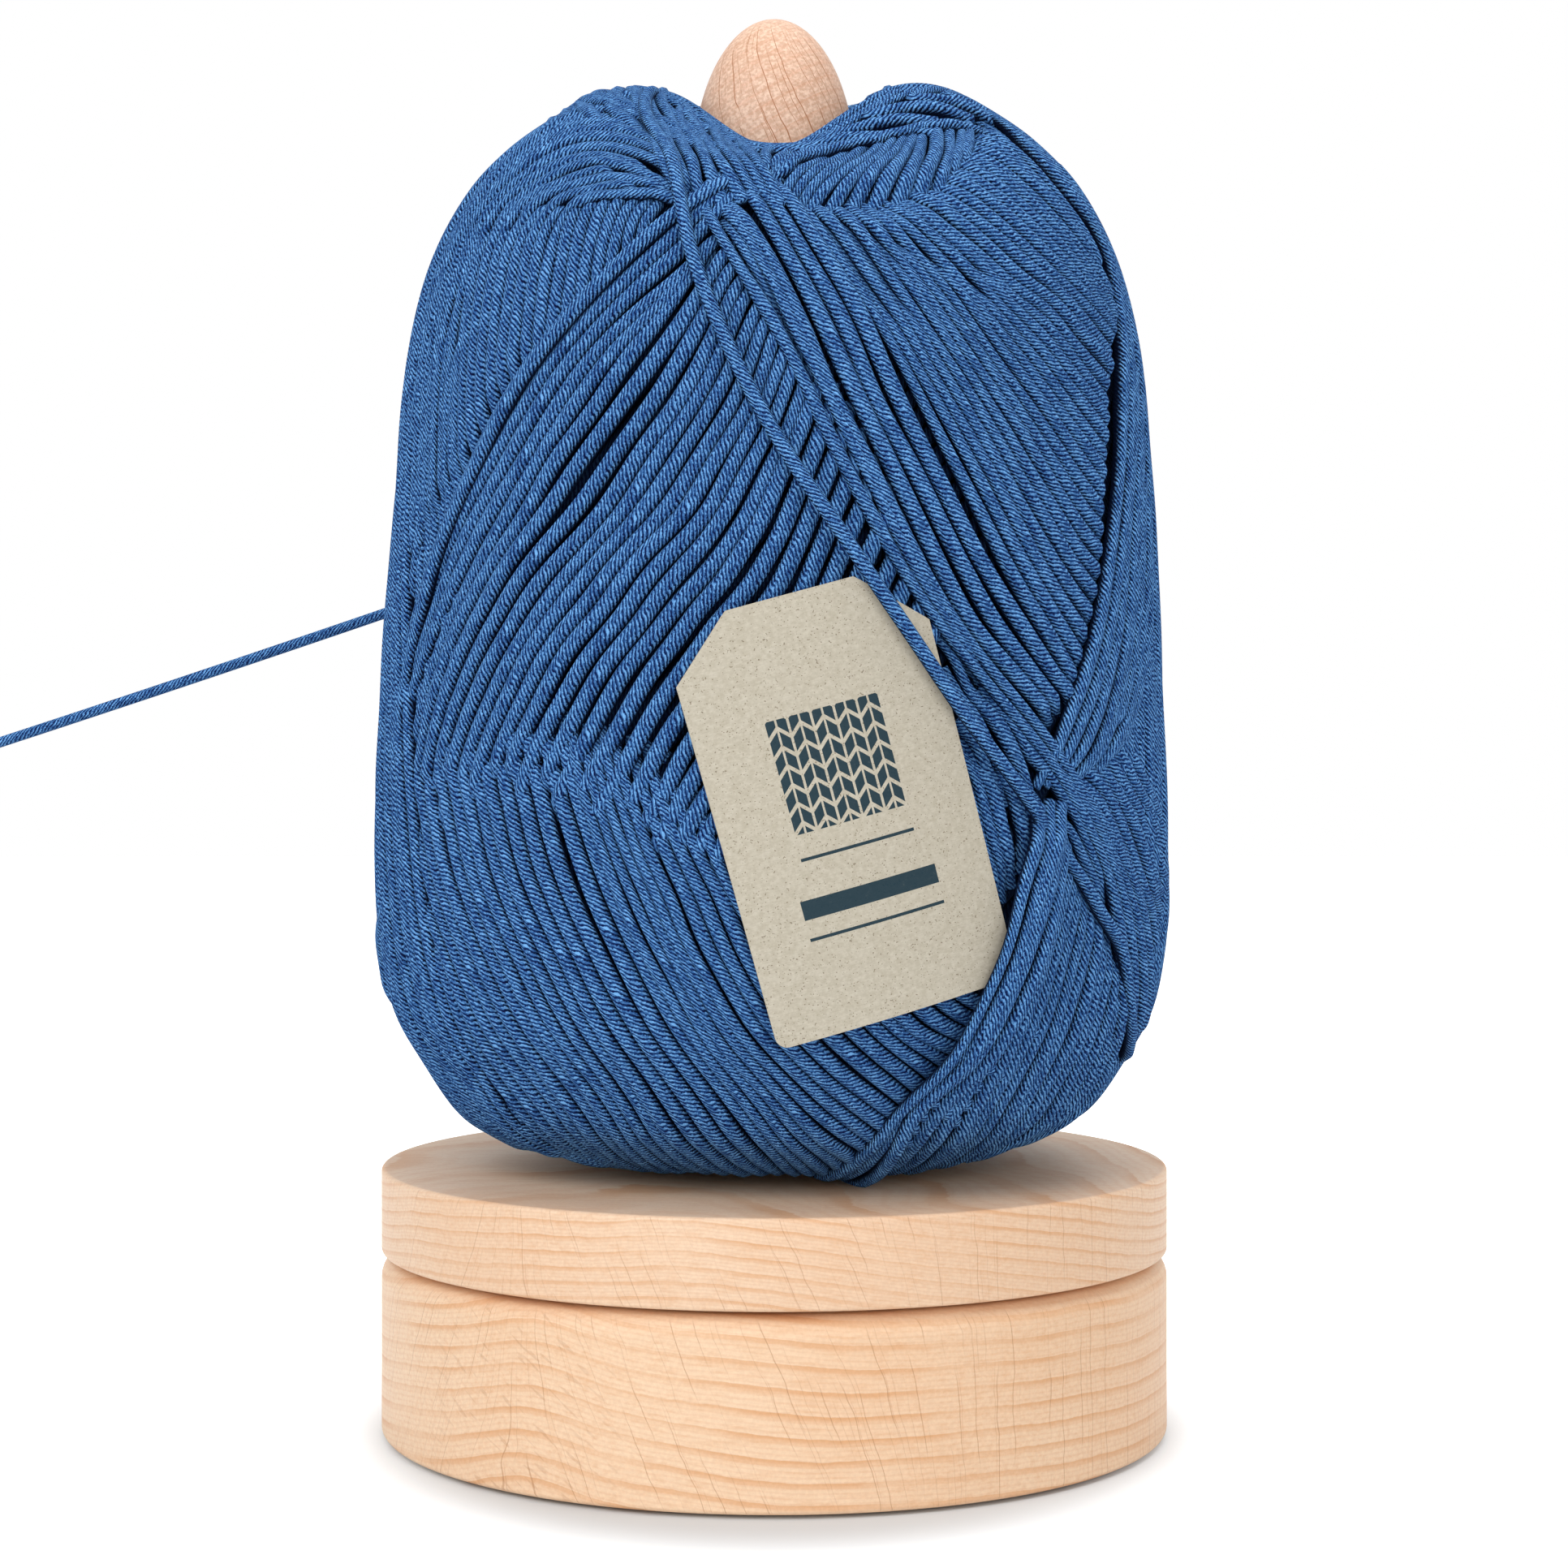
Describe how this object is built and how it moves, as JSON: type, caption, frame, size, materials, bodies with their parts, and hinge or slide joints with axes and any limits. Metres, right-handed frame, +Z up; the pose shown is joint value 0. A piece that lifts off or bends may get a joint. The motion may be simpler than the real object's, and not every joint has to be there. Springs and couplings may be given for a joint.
{
  "type": "yarn ball holder",
  "caption": "Turned beech yarn holder: a plate that spins on a heavy round base, a magnetic dowel, and a ball of yarn paying out one strand.",
  "frame": {"origin": "where the spindle's axis meets the surface that the rubber pads stand on", "axes": "+Z up along the spindle, -Y towards the paper tag at the front, -X towards the free end of the yarn"},
  "size_m": [0.2025, 0.1217, 0.2158],
  "materials": {
    "beech": "fine sanded, waxed",
    "beech_dowel": "fine sanded, waxed",
    "bearing_steel": "ground",
    "zinc_plated": "zinc plated",
    "magnet_nickel": "nickel plated",
    "cage_nylon": "moulded",
    "pad_rubber": "matte",
    "blue_yarn": "plied cotton yarn",
    "kraft_paper": "flecked recycled card"
  },
  "bodies": {
    "base": {"base_disc": "beech", "rubber_foot_1": "pad_rubber", "rubber_foot_2": "pad_rubber", "rubber_foot_3": "pad_rubber", "rubber_foot_4": "pad_rubber", "bearing_outer_ring": "bearing_steel"},
    "turntable": {"rotating_plate": "beech", "plate_magnet": "magnet_nickel", "axle_bolt": "zinc_plated", "spacer_washer": "zinc_plated", "bearing_inner_ring": "bearing_steel", "nut_washer": "zinc_plated", "lock_nut": "zinc_plated"},
    "ball_set": {"bearing_balls": "bearing_steel", "ball_cage": "cage_nylon"},
    "dowel": {"spindle": "beech_dowel", "spindle_magnet": "magnet_nickel"},
    "yarn": {"yarn_ball": "blue_yarn", "yarn_strand": "blue_yarn", "yarn_end_knot": "blue_yarn", "paper_tag": "kraft_paper"}
  },
  "joints": [
    {"name": "plate_spin", "type": "hinge", "parent": "base", "child": "turntable", "pos_m": [0, 0, 0.024], "axis": [0, 0, 1], "continuous": true},
    {"name": "cage_spin", "type": "hinge", "parent": "base", "child": "ball_set", "pos_m": [0, 0, 0.024], "axis": [0, 0, 1], "continuous": true},
    {"name": "spindle_lift", "type": "slide", "parent": "turntable", "child": "dowel", "axis": [0, 0, 1], "range_m": [0, 0.04]},
    {"name": "yarn_lift", "type": "slide", "parent": "turntable", "child": "yarn", "axis": [0, 0, 1], "range_m": [0, 0.18]}
  ],
  "couplings": [
    {"joint": "cage_spin", "follows": "plate_spin", "ratio": 0.36}
  ]
}
